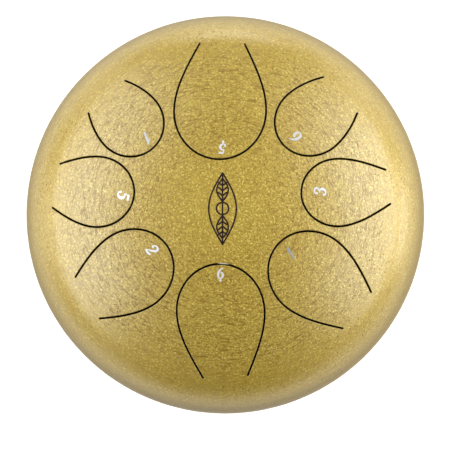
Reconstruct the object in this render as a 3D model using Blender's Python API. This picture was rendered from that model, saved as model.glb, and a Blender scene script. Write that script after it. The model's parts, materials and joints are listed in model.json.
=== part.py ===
"""Steel tongue drum: a ten-inch drum of two welded steel shells with eight cut tongues.

Frame: metres, +Z up, origin on the floor under the drum's middle, +Y towards the longest tongue.
Each tongue is cut free of the top shell by a U-shaped slot and bends at its root near the rim,
so it hangs on a hinge empty there. Run with: blender --background --python part.py
"""
import math
from collections import namedtuple

import bmesh
import bpy
from mathutils import Matrix, Vector

MM = 0.001

# ---- driving dimensions ----
SHELL_RADIUS = 127.0 * MM        # outside of both shells at the seam
SHEET = 1.5 * MM                 # steel sheet thickness
CLEARANCE = 0.3 * MM             # gap kept between neighbouring pieces
SEGMENTS = 48                    # facets round a shell
WELD = 0.01 * MM                 # vertices closer than this are one

CROWN_RADIUS = 260.0 * MM        # top dome's large arc
SHOULDER_RADIUS = 38.0 * MM      # arc that turns each shell down to the seam

FOOT_HEIGHT = 12.0 * MM          # floor to the outside of the base
PAN_DEPTH = 56.0 * MM            # base to the bottom shell's rim
PAN_WALL_SWEEP = 35.0            # degrees of shoulder arc before the straight wall
PAN_CORNER_RADIUS = 40.0 * MM    # arc from the wall into the flat base
SOUND_HOLE_RADIUS = 30.0 * MM
SOUND_HOLE_LIP = 5.0 * MM        # the hole's edge is turned inwards on this radius

BEAD_HEIGHT = 1.8 * MM           # weld bead between the two rims
BEAD_PROUD = 0.3 * MM

SLOT_WIDTH = 1.2 * MM            # laser-cut slot round each tongue
HEAD_RATIO = 1.08                # length of a tongue's round head over its half width
ROOT_SLOPE = -0.49               # how fast a tongue still narrows at its root

FOIL = 0.3 * MM                  # thickness of the numerals and the badge
NUMERAL_HEIGHT = 7.6 * MM
LOW_NUMERAL_HEIGHT = 6.4 * MM    # a numeral with an octave dot under it is smaller
BADGE_HALF_HEIGHT = 22.0 * MM
BADGE_HALF_WIDTH = 8.5 * MM
BADGE_LINE = 0.9 * MM
BADGE_LEAF = (0.20, 0.84)        # an inner leaf's start and end up the stem, in half heights
BADGE_LEAF_WIDTH = 0.42          # its bow, in half widths
BADGE_VEINS = (0.36, 0.50, 0.64)  # where its veins leave the stem, in half heights
BADGE_VEIN_REACH = 0.30          # how far a vein goes sideways, in half widths
BADGE_VEIN_RISE = 0.09           # and upwards, in half heights
BADGE_RING = 0.17                # the middle ring's radius, in half heights

FOOT_COUNT = 4
FOOT_CIRCLE = 60.0 * MM          # radius of the circle the feet stand on
FOOT_TOP_RADIUS = 11.0 * MM
FOOT_TREAD_RADIUS = 9.0 * MM
FOOT_RECESS_RADIUS = 5.0 * MM
FOOT_RECESS_DEPTH = 6.0 * MM
SCREW_RADIUS = 2.0 * MM          # M4
SCREW_HEAD_RADIUS = 3.8 * MM
SCREW_HEAD_HEIGHT = 2.4 * MM
WASHER_THICKNESS = 1.0 * MM
CUP_WASHER_RADIUS = 4.5 * MM
FLAT_WASHER_RADIUS = 5.0 * MM
NUT_ACROSS_FLATS = 7.0 * MM
NUT_HEIGHT = 4.8 * MM
THREAD_PAST_NUT = 1.6 * MM
DRILL_REACH = 6.0 * MM           # how far a drill runs past each side of the sheet
FOOT_SEGMENTS = 16

# ---- facets along the arcs ----
CROWN_STEPS = 9
SHOULDER_STEPS = 6
WALL_STEPS = 3
CORNER_STEPS = 4
LIP_STEPS = 2
HEAD_STEPS = 8                   # along each side of a tongue's round head
FLANK_STEPS = 5
STROKE_STEPS = 2                 # between two points of a numeral's stroke

# ---- levels that follow from them ----
RIM_GAP = BEAD_HEIGHT / 2 + CLEARANCE
PAN_RIM_Z = FOOT_HEIGHT + PAN_DEPTH
SEAM_Z = PAN_RIM_Z + RIM_GAP
DOME_Z = SEAM_Z + RIM_GAP
SHOULDER_CENTRE = SHELL_RADIUS - SHOULDER_RADIUS
CROWN_DROP = math.sqrt((CROWN_RADIUS - SHOULDER_RADIUS) ** 2 - SHOULDER_CENTRE ** 2)
CROWN_SWEEP = math.asin(SHOULDER_CENTRE / (CROWN_RADIUS - SHOULDER_RADIUS))
HOLE_RADIUS = SCREW_RADIUS + CLEARANCE

# One tongue: the slot's tip in plan, the way from tip to root, and the slot's own size.
# numeral_along and numeral_aside place the numeral's middle from the tip, in the tongue's frame.
Tongue = namedtuple("Tongue", "note digit tip_x tip_y heading half_width length root_half_width "
                              "numeral_along numeral_aside")
TONGUES = [
    Tongue("low_5", "5", -2.5, 30.6, 88.7, 28.6, 74.4, 14.2, 7.4, -1.9),
    Tongue("low_6", "6", -3.4, -34.2, 273.8, 27.2, 69.5, 14.0, 6.5, 1.7),
    Tongue("1", "1", 33.1, -23.2, 322.0, 25.8, 63.4, 14.4, 9.3, 2.3),
    Tongue("2", "2", -33.5, -24.2, 210.5, 25.1, 59.4, 15.1, 9.2, -4.5),
    Tongue("3", "3", 48.7, 7.4, 7.7, 21.0, 54.4, 10.8, 11.7, 1.9),
    Tongue("5", "5", -55.2, 7.3, 170.2, 22.0, 50.4, 14.0, 6.6, 0.2),
    Tongue("6", "6", 37.6, 39.7, 42.6, 21.9, 48.1, 15.6, 8.9, -1.2),
    Tongue("high_1", "1", -43.5, 37.8, 131.3, 21.1, 44.9, 15.4, 7.4, -1.4),
]

# Numerals as pen strokes: each point is (across, up, pen width) in numeral heights.
PEN_STROKES = {
    "1": [[(0.13, 0.06, 0.15), (0.30, 0.50, 0.15), (0.46, 0.92, 0.15)],
          [(0.48, 0.97, 0.05), (0.36, 0.80, 0.13), (0.20, 0.71, 0.10)]],
    "2": [[(0.16, 0.66, 0.17), (0.13, 0.79, 0.11), (0.28, 0.93, 0.08), (0.46, 0.93, 0.14),
           (0.58, 0.80, 0.17), (0.55, 0.62, 0.17), (0.38, 0.42, 0.12), (0.18, 0.22, 0.08),
           (0.03, 0.05, 0.07)],
          [(0.02, 0.04, 0.05), (0.16, 0.05, 0.13), (0.38, 0.07, 0.16), (0.56, 0.13, 0.11)]],
    "3": [[(0.28, 0.77, 0.15), (0.33, 0.90, 0.10), (0.52, 0.95, 0.10), (0.68, 0.86, 0.14),
           (0.71, 0.72, 0.15), (0.60, 0.59, 0.12), (0.36, 0.52, 0.08)],
          [(0.46, 0.54, 0.06), (0.54, 0.46, 0.12), (0.58, 0.30, 0.19), (0.48, 0.12, 0.17),
           (0.30, 0.05, 0.10), (0.12, 0.11, 0.12), (0.09, 0.24, 0.15)]],
    "5": [[(0.26, 0.92, 0.13), (0.42, 0.91, 0.16), (0.57, 0.90, 0.15), (0.69, 0.95, 0.06)],
          [(0.29, 0.92, 0.07), (0.24, 0.76, 0.07), (0.19, 0.59, 0.08)],
          [(0.18, 0.61, 0.07), (0.34, 0.60, 0.11), (0.50, 0.51, 0.18), (0.55, 0.36, 0.21),
           (0.50, 0.18, 0.18), (0.38, 0.06, 0.13), (0.24, 0.03, 0.09), (0.11, 0.10, 0.11),
           (0.08, 0.24, 0.15)]],
    "6": [[(0.60, 1.00, 0.04), (0.40, 0.88, 0.12), (0.22, 0.70, 0.19), (0.12, 0.46, 0.22),
           (0.10, 0.26, 0.18), (0.17, 0.09, 0.13), (0.31, 0.03, 0.10), (0.45, 0.10, 0.14),
           (0.55, 0.25, 0.19), (0.55, 0.43, 0.19), (0.47, 0.55, 0.14), (0.36, 0.56, 0.05)]],
}
OCTAVE_DOT = [(0.32, 0.04, 0.07), (0.30, -0.06, 0.08), (0.29, -0.15, 0.21), (0.28, -0.22, 0.17)]


def clear_scene():
    for thing in list(bpy.data.objects):
        bpy.data.objects.remove(thing, do_unlink=True)


# ---- materials ----
def make_material(name, colour, roughness, metallic):
    material = bpy.data.materials.new(name)
    material.use_nodes = True
    shader = material.node_tree.nodes["Principled BSDF"]
    shader.inputs["Base Color"].default_value = (*colour, 1.0)
    shader.inputs["Roughness"].default_value = roughness
    shader.inputs["Metallic"].default_value = metallic
    return material


# ---- geometry helpers ----
def arc(centre, radius, start, end, steps):
    """Points on an arc in the (radius, height) plane, angles in radians."""
    points = []
    for i in range(steps + 1):
        angle = start + (end - start) * i / steps
        points.append((centre[0] + radius * math.cos(angle), centre[1] + radius * math.sin(angle)))
    return points


def add_object(name, bm, material):
    """Turn a bmesh into a named, smooth-shaded object."""
    bmesh.ops.recalc_face_normals(bm, faces=bm.faces)
    mesh = bpy.data.meshes.new(name)
    bm.to_mesh(mesh)
    bm.free()
    mesh.shade_smooth()
    mesh.set_sharp_from_angle(angle=math.radians(30))
    mesh.materials.append(material)
    thing = bpy.data.objects.new(name, mesh)
    bpy.context.scene.collection.objects.link(thing)
    return thing


def revolve(name, profile, segments, material):
    """Turn (radius, height) points about Z. A profile that starts and ends on the axis stays open."""
    bm = bmesh.new()
    ring = [bm.verts.new((radius, 0, height)) for radius, height in profile]
    edges = [bm.edges.new(pair) for pair in zip(ring, ring[1:])]
    if profile[0][0] > 0:
        edges.append(bm.edges.new((ring[-1], ring[0])))
    bmesh.ops.spin(bm, geom=ring + edges, axis=(0, 0, 1), cent=(0, 0, 0),
                   angle=2 * math.pi, steps=segments)
    bmesh.ops.remove_doubles(bm, verts=bm.verts, dist=WELD)
    return add_object(name, bm, material)


def prism(name, outline, low, high, material):
    """Stand a plan outline up between two heights."""
    bm = bmesh.new()
    floor = bm.faces.new([bm.verts.new((x, y, low)) for x, y in outline])
    grown = bmesh.ops.extrude_face_region(bm, geom=[floor])
    lifted = [item for item in grown["geom"] if isinstance(item, bmesh.types.BMVert)]
    bmesh.ops.translate(bm, verts=lifted, vec=(0, 0, high - low))
    return add_object(name, bm, material)


def add_boolean(target, cutter, operation):
    """Give the target a Boolean by a cutter, which becomes a hidden guide."""
    boolean = target.modifiers.new(cutter.name, "BOOLEAN")
    boolean.operation = operation
    boolean.object = cutter
    cutter.hide_render = True
    cutter.display_type = "WIRE"


def apply_modifiers(thing):
    """Replace an object's mesh by its evaluated one and drop its modifiers and cutters."""
    guides = [modifier.object for modifier in thing.modifiers]
    evaluated = thing.evaluated_get(bpy.context.evaluated_depsgraph_get())
    mesh = bpy.data.meshes.new_from_object(evaluated)
    thing.modifiers.clear()
    thing.data = mesh
    for guide in guides:
        bpy.data.objects.remove(guide, do_unlink=True)


# ---- shells ----
def dome_profile(inset):
    """The top shell's (radius, height) line, moved in by inset, from the apex to the rim."""
    crown_end = math.pi / 2 - CROWN_SWEEP
    crown = arc((0, DOME_Z - CROWN_DROP), CROWN_RADIUS - inset, math.pi / 2, crown_end, CROWN_STEPS)
    crown[0] = (0, crown[0][1])
    shoulder = arc((SHOULDER_CENTRE, DOME_Z), SHOULDER_RADIUS - inset, crown_end, 0, SHOULDER_STEPS)
    return crown + shoulder[1:]


def dome_height(radius):
    """Height of the top shell's outside at a distance from the axis, inside the crown."""
    return DOME_Z - CROWN_DROP + math.sqrt(CROWN_RADIUS ** 2 - radius ** 2)


def make_dome(name, material):
    return revolve(name, dome_profile(0) + dome_profile(SHEET)[::-1], SEGMENTS, material)


def pan_profile(inset):
    """The bottom shell's line, moved in by inset, from the rim to the sound hole's lip."""
    sweep = math.radians(PAN_WALL_SWEEP)
    wall = arc((SHOULDER_CENTRE, PAN_RIM_Z), SHOULDER_RADIUS - inset, 0, -sweep, WALL_STEPS)
    shoulder_drop = SHOULDER_RADIUS * math.sin(sweep)
    corner_drop = PAN_CORNER_RADIUS * (1 - math.sin(sweep))
    slant = (PAN_DEPTH - shoulder_drop - corner_drop) / math.cos(sweep)
    reach = SHOULDER_CENTRE + (SHOULDER_RADIUS - PAN_CORNER_RADIUS) * math.cos(sweep)
    corner_centre = (reach - slant * math.sin(sweep), FOOT_HEIGHT + PAN_CORNER_RADIUS)
    corner = arc(corner_centre, PAN_CORNER_RADIUS - inset, -sweep, -math.pi / 2, CORNER_STEPS)
    lip_centre = (SOUND_HOLE_RADIUS + SOUND_HOLE_LIP, FOOT_HEIGHT + SOUND_HOLE_LIP)
    lip = arc(lip_centre, SOUND_HOLE_LIP - inset, -math.pi / 2, -math.pi, LIP_STEPS)
    return wall + corner + lip


def make_drill(name, low, high, material):
    """A screw hole's cutter, running past both heights."""
    bottom = low - DRILL_REACH
    top = high + DRILL_REACH
    profile = [(0, bottom), (HOLE_RADIUS, bottom), (HOLE_RADIUS, top), (0, top)]
    return revolve(name, profile, FOOT_SEGMENTS, material)


def make_pan(material):
    pan = revolve("bottom_shell", pan_profile(0) + pan_profile(SHEET)[::-1], SEGMENTS, material)
    for index in range(FOOT_COUNT):
        drill = make_drill(f"foot_drill_{index + 1}", FOOT_HEIGHT, FOOT_HEIGHT + SHEET, material)
        drill.location = foot_place(index)
        add_boolean(pan, drill, "DIFFERENCE")
    return pan


def make_weld_bead(material):
    half = BEAD_HEIGHT / 2
    inner = SHELL_RADIUS - SHEET - CLEARANCE
    crest = SHELL_RADIUS + BEAD_PROUD
    profile = [(inner, SEAM_Z - half), (SHELL_RADIUS, SEAM_Z - half), (crest, SEAM_Z - half / 2),
               (crest, SEAM_Z + half / 2), (SHELL_RADIUS, SEAM_Z + half), (inner, SEAM_Z + half)]
    return revolve("seam_weld_bead", profile, SEGMENTS, material)


# ---- tongues ----
def slot_line(tongue):
    """One side of a slot's centre line from its tip to its root: (along, aside) in metres.

    The head is a quarter of an ellipse. The flank is a cubic that leaves it level and arrives
    at the root half width with ROOT_SLOPE.
    """
    half = tongue.half_width * MM
    head = HEAD_RATIO * half
    flank = tongue.length * MM - head
    narrowing = tongue.root_half_width * MM - half
    end_slope = ROOT_SLOPE * flank
    points = []
    for i in range(HEAD_STEPS + 1):
        angle = math.pi / 2 * i / HEAD_STEPS
        points.append((head * (1 - math.cos(angle)), half * math.sin(angle)))
    for i in range(1, FLANK_STEPS + 1):
        u = i / FLANK_STEPS
        aside = half + (3 * narrowing - end_slope) * u ** 2 + (end_slope - 2 * narrowing) * u ** 3
        points.append((head + flank * u, aside))
    return points


def tongue_place(tongue, along, aside):
    """A point of a tongue's own frame in plan."""
    heading = math.radians(tongue.heading)
    x = tongue.tip_x * MM + along * math.cos(heading) - aside * math.sin(heading)
    y = tongue.tip_y * MM + along * math.sin(heading) + aside * math.cos(heading)
    return x, y


def slot_outline(tongue, offset):
    """The closed plan outline at an offset from the slot's centre line, cut off at the root."""
    side = slot_line(tongue)
    line = [(along, -aside) for along, aside in side[:0:-1]] + side
    moved = []
    for i, (along, aside) in enumerate(line):
        before = line[max(i - 1, 0)]
        after = line[min(i + 1, len(line) - 1)]
        run = Vector((after[0] - before[0], after[1] - before[1])).normalized()
        moved.append((along - offset * run.y, aside + offset * run.x))
    root = tongue.length * MM + math.copysign(CLEARANCE / 2, offset)
    for end, inner in ((0, 1), (-1, -2)):
        slope = (moved[end][1] - moved[inner][1]) / (moved[end][0] - moved[inner][0])
        moved[end] = (root, moved[inner][1] + slope * (root - moved[inner][0]))
    return [tongue_place(tongue, along, aside) for along, aside in moved]


def make_top_shell(material):
    shell = make_dome("top_shell", material)
    for tongue in TONGUES:
        outline = slot_outline(tongue, SLOT_WIDTH / 2)
        window = prism(f"window_{tongue.note}", outline, SEAM_Z, 2 * DOME_Z, material)
        add_boolean(shell, window, "DIFFERENCE")
    return shell


def make_tongue(tongue, material):
    blade = make_dome(f"tongue_{tongue.note}", material)
    outline = slot_outline(tongue, -SLOT_WIDTH / 2)
    trim = prism(f"trim_{tongue.note}", outline, SEAM_Z, 2 * DOME_Z, material)
    add_boolean(blade, trim, "INTERSECT")
    return blade


def make_hinge(tongue):
    """An empty at the middle of a tongue's root, its X axis along the line the tongue bends on."""
    x, y = tongue_place(tongue, tongue.length * MM, 0)
    height = dome_height(math.hypot(x, y)) - SHEET / 2
    hinge = bpy.data.objects.new(f"hinge_{tongue.note}", None)
    turn = Matrix.Rotation(math.radians(tongue.heading - 90), 4, "Z")
    hinge.matrix_world = Matrix.Translation((x, y, height)) @ turn
    bpy.context.scene.collection.objects.link(hinge)
    return hinge


def hang(thing, hinge):
    """Parent a piece to a hinge and leave it where it is."""
    thing.parent = hinge
    thing.matrix_parent_inverse = hinge.matrix_world.inverted()


# ---- foil numerals and badge ----
def smooth_stroke(points, steps):
    """A Catmull-Rom curve through (x, y, width) points, with a blunt rounded cap at each end."""
    padded = [points[0]] + list(points) + [points[-1]]
    curve = []
    for p0, p1, p2, p3 in zip(padded, padded[1:], padded[2:], padded[3:]):
        for i in range(steps):
            t = i / steps
            curve.append(tuple(0.5 * (2 * b + (c - a) * t + (2 * a - 5 * b + 4 * c - d) * t ** 2
                                      + (3 * b - a - 3 * c + d) * t ** 3)
                               for a, b, c, d in zip(p0, p1, p2, p3)))
    curve.append(tuple(points[-1]))
    return [stroke_cap(curve[0], curve[1])] + curve + [stroke_cap(curve[-1], curve[-2])]


def stroke_cap(end, inner):
    """A narrower point a little past a stroke's end."""
    run = Vector((end[0] - inner[0], end[1] - inner[1])).normalized()
    reach = 0.35 * end[2]
    return (end[0] + reach * run.x, end[1] + reach * run.y, 0.5 * end[2])


def ribbon(name, stroke, material):
    """A flat bar of foil along a stroke, from z = 0 to the foil's thickness."""
    bm = bmesh.new()
    rows = []
    for i, (x, y, width) in enumerate(stroke):
        before = stroke[max(i - 1, 0)]
        after = stroke[min(i + 1, len(stroke) - 1)]
        side = Vector((before[1] - after[1], after[0] - before[0], 0)).normalized() * width / 2
        middle = Vector((x, y, 0))
        rows.append([bm.verts.new(middle + side + lift) for lift in (Vector(), Vector((0, 0, FOIL)))]
                    + [bm.verts.new(middle - side + lift) for lift in (Vector((0, 0, FOIL)), Vector())])
    for first, second in zip(rows, rows[1:]):
        for i in range(4):
            bm.faces.new((first[i], first[i - 1], second[i - 1], second[i]))
    bm.faces.new(rows[0])
    bm.faces.new(rows[-1][::-1])
    return add_object(name, bm, material)


def join_strokes(name, strokes, material):
    """Union the bars of all strokes into one solid."""
    base = ribbon(name, strokes[0], material)
    for index, stroke in enumerate(strokes[1:]):
        add_boolean(base, ribbon(f"{name}_stroke_{index + 2}", stroke, material), "UNION")
    apply_modifiers(base)
    return base


def lay_on_dome(thing):
    """Bend a flat foil, drawn in plan, onto the dome with the usual clearance under it."""
    for vertex in thing.data.vertices:
        x, y, lift = vertex.co
        normal = Vector((x, y, dome_height(math.hypot(x, y)) - DOME_Z + CROWN_DROP)).normalized()
        foot = Vector((x, y, dome_height(math.hypot(x, y))))
        vertex.co = foot + normal * (CLEARANCE + lift)


def make_numeral(tongue, material):
    """A numeral whose top points at the tongue's tip."""
    low = tongue.note.startswith("low")
    height = LOW_NUMERAL_HEIGHT if low else NUMERAL_HEIGHT
    pen = PEN_STROKES[tongue.digit] + ([OCTAVE_DOT] if low else [])
    across = [x for stroke in pen for x, _, _ in stroke]
    up = [y for stroke in pen for _, y, _ in stroke]
    middle_x = (min(across) + max(across)) / 2
    middle_y = (min(up) + max(up)) / 2
    strokes = []
    for stroke in pen:
        placed = []
        for x, y, width in smooth_stroke(stroke, STROKE_STEPS):
            along = tongue.numeral_along * MM - (y - middle_y) * height
            aside = tongue.numeral_aside * MM + (x - middle_x) * height
            placed.append((*tongue_place(tongue, along, aside), width * height))
        strokes.append(placed)
    numeral = join_strokes(f"numeral_{tongue.note}", strokes, material)
    lay_on_dome(numeral)
    return numeral


def bowed_line(start, end, bow, steps):
    """A stroke of the badge's line width along an arc that bows sideways from its chord."""
    chord = Vector((end[0] - start[0], end[1] - start[1]))
    side = Vector((chord.y, -chord.x)).normalized()
    points = []
    for i in range(steps + 1):
        t = i / steps
        x, y = Vector(start) + chord * t + side * bow * math.sin(math.pi * t)
        points.append((x, y, BADGE_LINE))
    return points


def half_ring(side, radius):
    """Half of the badge's middle ring, right (1) or left (-1) of the stem."""
    steps = 6
    angles = [math.pi * (i / steps - 0.5) for i in range(steps + 1)]
    return [(side * radius * math.cos(a), radius * math.sin(a), BADGE_LINE) for a in angles]


def make_badge(material):
    """A leaf ornament: a tall pointed-oval frame, a stem, two inner leaves with veins, a ring."""
    high = BADGE_HALF_HEIGHT
    wide = BADGE_HALF_WIDTH
    strokes = [bowed_line((0, -high), (0, high), 0, 6)]
    for side in (-1, 1):
        strokes.append(bowed_line((0, -high), (0, high), side * wide, 10))
        for way in (-high, high):
            leaf_start, leaf_end = ((0, way * share) for share in BADGE_LEAF)
            strokes.append(bowed_line(leaf_start, leaf_end, side * BADGE_LEAF_WIDTH * wide, 5))
            for share in BADGE_VEINS:
                vein_end = (side * BADGE_VEIN_REACH * wide, way * (share + BADGE_VEIN_RISE))
                strokes.append(bowed_line((0, way * share), vein_end, 0, 1))
        strokes.append(half_ring(side, BADGE_RING * high))
    badge = join_strokes("centre_badge", strokes, material)
    lay_on_dome(badge)
    return badge


# ---- feet and fasteners ----
def foot_place(index):
    angle = math.radians(45 + 360 * index / FOOT_COUNT)
    return Vector((FOOT_CIRCLE * math.cos(angle), FOOT_CIRCLE * math.sin(angle), 0))


def make_washer(name, bottom, outer, material):
    profile = [(HOLE_RADIUS, bottom), (outer, bottom),
               (outer, bottom + WASHER_THICKNESS), (HOLE_RADIUS, bottom + WASHER_THICKNESS)]
    return revolve(name, profile, FOOT_SEGMENTS, material)


def make_foot(index, rubber, zinc):
    """A rubber foot with its cup washer, screw, flat washer and lock nut."""
    number = index + 1
    top = FOOT_HEIGHT - CLEARANCE
    foot = revolve(f"rubber_foot_{number}", [
        (FOOT_RECESS_RADIUS, 0), (FOOT_TREAD_RADIUS - MM, 0), (FOOT_TREAD_RADIUS, MM),
        (FOOT_TOP_RADIUS, top), (HOLE_RADIUS, top), (HOLE_RADIUS, FOOT_RECESS_DEPTH),
        (FOOT_RECESS_RADIUS, FOOT_RECESS_DEPTH)], FOOT_SEGMENTS, rubber)

    cup_bottom = FOOT_RECESS_DEPTH - CLEARANCE - WASHER_THICKNESS
    cup = make_washer(f"cup_washer_{number}", cup_bottom, CUP_WASHER_RADIUS, zinc)

    flat_bottom = FOOT_HEIGHT + SHEET + CLEARANCE
    flat = make_washer(f"flat_washer_{number}", flat_bottom, FLAT_WASHER_RADIUS, zinc)

    nut_bottom = flat_bottom + WASHER_THICKNESS + CLEARANCE
    nut_top = nut_bottom + NUT_HEIGHT
    corner = NUT_ACROSS_FLATS / math.sqrt(3)
    hexagon = [(corner * math.cos(math.pi / 3 * i), corner * math.sin(math.pi / 3 * i))
               for i in range(6)]
    nut = prism(f"lock_nut_{number}", hexagon, nut_bottom, nut_top, zinc)
    bore = make_drill(f"nut_bore_{number}", nut_bottom, nut_top, zinc)
    add_boolean(nut, bore, "DIFFERENCE")

    head_top = cup_bottom - CLEARANCE
    head_bottom = head_top - SCREW_HEAD_HEIGHT
    screw = revolve(f"foot_screw_{number}", [
        (0, head_bottom), (0.7 * SCREW_HEAD_RADIUS, head_bottom),
        (SCREW_HEAD_RADIUS, head_bottom + 0.4 * SCREW_HEAD_HEIGHT), (SCREW_HEAD_RADIUS, head_top),
        (SCREW_RADIUS, head_top), (SCREW_RADIUS, nut_top + THREAD_PAST_NUT),
        (0, nut_top + THREAD_PAST_NUT)], FOOT_SEGMENTS, zinc)

    for piece in (foot, cup, flat, nut, bore, screw):
        piece.location = foot_place(index)


def main():
    clear_scene()
    paint = make_material("gold_crackle_paint", (0.55, 0.40, 0.13), 0.42, 0.75)
    nickel = make_material("nickel_foil", (0.80, 0.80, 0.86), 0.22, 1.0)
    black = make_material("black_foil", (0.012, 0.010, 0.012), 0.25, 0.3)
    rubber = make_material("black_rubber", (0.02, 0.02, 0.02), 0.75, 0.0)
    zinc = make_material("zinc_plate", (0.60, 0.61, 0.63), 0.32, 1.0)

    make_top_shell(paint)
    make_pan(paint)
    make_weld_bead(paint)
    for tongue in TONGUES:
        hinge = make_hinge(tongue)
        hang(make_tongue(tongue, paint), hinge)
        hang(make_numeral(tongue, nickel), hinge)
    make_badge(black)
    for index in range(FOOT_COUNT):
        make_foot(index, rubber, zinc)


main()
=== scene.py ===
"""Looks of the steel tongue drum: fine painted shells and tongues, foil numerals and badge, feet.

Metres, +Z up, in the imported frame. Each sheet of the drum is laid out flat, triangulated there
between its cut edges, and wrapped back onto its turned outline with exact normals, so a tongue
and the shell meet at the root without a seam.
"""
import json
import math
from collections import namedtuple

import bmesh
import bpy
from mathutils import Matrix, Vector
from mathutils.geometry import delaunay_2d_cdt
from mathutils.kdtree import KDTree


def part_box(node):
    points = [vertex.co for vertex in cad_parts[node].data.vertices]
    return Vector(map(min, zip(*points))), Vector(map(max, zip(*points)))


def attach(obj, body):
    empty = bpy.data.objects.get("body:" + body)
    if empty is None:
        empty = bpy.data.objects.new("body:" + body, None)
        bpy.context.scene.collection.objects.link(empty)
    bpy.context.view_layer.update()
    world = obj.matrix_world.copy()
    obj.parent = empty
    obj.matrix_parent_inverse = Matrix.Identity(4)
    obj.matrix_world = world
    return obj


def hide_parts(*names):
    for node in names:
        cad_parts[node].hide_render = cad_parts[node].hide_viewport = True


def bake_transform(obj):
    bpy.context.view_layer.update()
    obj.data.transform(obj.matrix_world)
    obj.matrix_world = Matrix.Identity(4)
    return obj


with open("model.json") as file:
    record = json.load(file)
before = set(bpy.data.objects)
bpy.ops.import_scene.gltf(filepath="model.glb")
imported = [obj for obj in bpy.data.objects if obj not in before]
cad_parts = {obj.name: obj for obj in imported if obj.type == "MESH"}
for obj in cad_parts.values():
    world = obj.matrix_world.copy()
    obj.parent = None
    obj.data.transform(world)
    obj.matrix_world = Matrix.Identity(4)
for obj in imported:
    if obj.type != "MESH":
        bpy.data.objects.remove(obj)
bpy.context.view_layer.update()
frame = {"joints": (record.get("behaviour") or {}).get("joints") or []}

MM = 0.001

# ---- sizes taken from the frame ----
TOP_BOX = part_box("top_shell")
PAN_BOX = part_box("bottom_shell")
SHELL_RADIUS = round(TOP_BOX[1].x, 5)
DOME_Z = TOP_BOX[0].z  # the top shell's rim
PAN_RIM_Z = PAN_BOX[1].z  # the bottom shell's rim
FOOT_HEIGHT = PAN_BOX[0].z  # the outside of the base
SEAM_Z = (DOME_Z + PAN_RIM_Z) / 2

# ---- the sheets' outlines, as in the CAD ----
SHEET = 1.5 * MM
CROWN_RADIUS = 260.0 * MM
SHOULDER_RADIUS = 38.0 * MM
SHOULDER_CENTRE = SHELL_RADIUS - SHOULDER_RADIUS
CROWN_DROP = math.sqrt((CROWN_RADIUS - SHOULDER_RADIUS) ** 2 - SHOULDER_CENTRE ** 2)
CROWN_SWEEP = math.asin(SHOULDER_CENTRE / (CROWN_RADIUS - SHOULDER_RADIUS))
PAN_WALL_SWEEP = math.radians(35.0)
PAN_CORNER_RADIUS = 40.0 * MM
SOUND_HOLE_RADIUS = 30.0 * MM
SOUND_HOLE_LIP = 5.0 * MM

# ---- fine detail ----
EDGE = 0.28 * MM  # paint rounds every cut edge on this radius
EDGE_STEPS = 3
GRID = 4.0 * MM  # spacing of a sheet's inner points
DOME_SPACINGS = (GRID, GRID / 2)  # of the rings on each part of the outline
PAN_SPACINGS = (GRID / 4, GRID, GRID / 2, GRID, GRID / 2)
CLEARANCE = 0.4 * GRID  # inner points stay this far from every edge
RIM_POINTS = 256
SOUND_HOLE_POINTS = 96
HOLE_POINTS = 24
CHORD_POINTS = 12  # along a tongue's root
SLOT_END_POINTS = 8

SLOT_WIDTH = 1.2 * MM
HEAD_RATIO = 1.08
ROOT_SLOPE = -0.49
HEAD_STEPS = 40
FLANK_STEPS = 30

# Marks in the paint: how far each rises, how strongly it tints the gold, and its tint. The creases'
# and pits' dark tints are painted shade in the low places of the relief.
Mark = namedtuple("Mark", "rise strength tint")
PAINT_MARKS = {
    "specks": Mark(0.35, 0.45, (0.86, 0.75, 0.25)),
    "creases": Mark(-0.75, 0.30, (0.22, 0.12, 0.004)),
    "pits": Mark(-0.5, 0.5, (0.24, 0.14, 0.02)),
    "cracks": Mark(-0.25, 0.35, (0.40, 0.30, 0.16)),
}
# The gold by the relief's height: partly the paint's own tone, partly painted shade where the
# relief is low and painted light where it is high.
PAINT_GOLDS = ((0.0, (0.30, 0.174, 0.012)), (0.5, (0.50, 0.335, 0.032)), (1.0, (0.71, 0.56, 0.11)))
LUMP_RISE = 1.2
GRAIN_RISE = 0.8
MEAN_RISE = 0.99  # of lumps, grain and marks together
PAINT_RELIEF = 0.34 * MM  # what a rise of 1 comes to
# Painted shade: the gold is darkened towards the rim, where the drum turns away from the lights.
RIM_PAINTED_SHADE = (0.165, 0.108, 0.022)
RIM_PAINTED_SHADE_STRENGTH = 0.80
STREAK_SPREAD = 20.0  # how finely creases break up round the axis

FOIL = 0.14 * MM
FOIL_SINK = 0.05 * MM  # how far a foil's underside dips into the paint
FOIL_SKIRT = 0.10 * MM  # how far its edge slopes out
FOIL_SLANT = 0.8  # how much the edge's shading leans up
NUMERAL_HEIGHT = 7.6 * MM
LOW_NUMERAL_HEIGHT = 6.4 * MM
PEN_WEIGHTS = {"6": 1.0}  # printed strokes spread a little, but a 6 must stay open
PEN_SPREAD = 1.08
STROKE_STEPS = 8
CAP_STEPS = 8

BADGE_HALF_HEIGHT = 22.0 * MM
BADGE_HALF_WIDTH = 8.5 * MM
BADGE_LINE = 0.85 * MM
BADGE_LEAF = (0.20, 0.84)
BADGE_LEAF_WIDTH = 0.42
BADGE_VEINS = (0.36, 0.50, 0.64)
BADGE_VEIN_REACH = 0.30
BADGE_VEIN_RISE = 0.09
BADGE_RING = 0.17
BADGE_STEPS = 24

BEAD_HALF_WIDTH = 1.1 * MM
BEAD_OVERLAP = 1.0 * MM  # how far the weld bead laps over each rim
BEAD_POINTS = 20  # round its section
BEAD_SEGMENTS = 1440  # round the drum
BEAD_DIP = 0.00022  # how far its ripple sinks, as a share of the radius
BEAD_WAVES = ((230, 0.24, 0), (97, 0.18, 1), (41, 0.6, 0))  # waves a turn, height, phase

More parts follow.
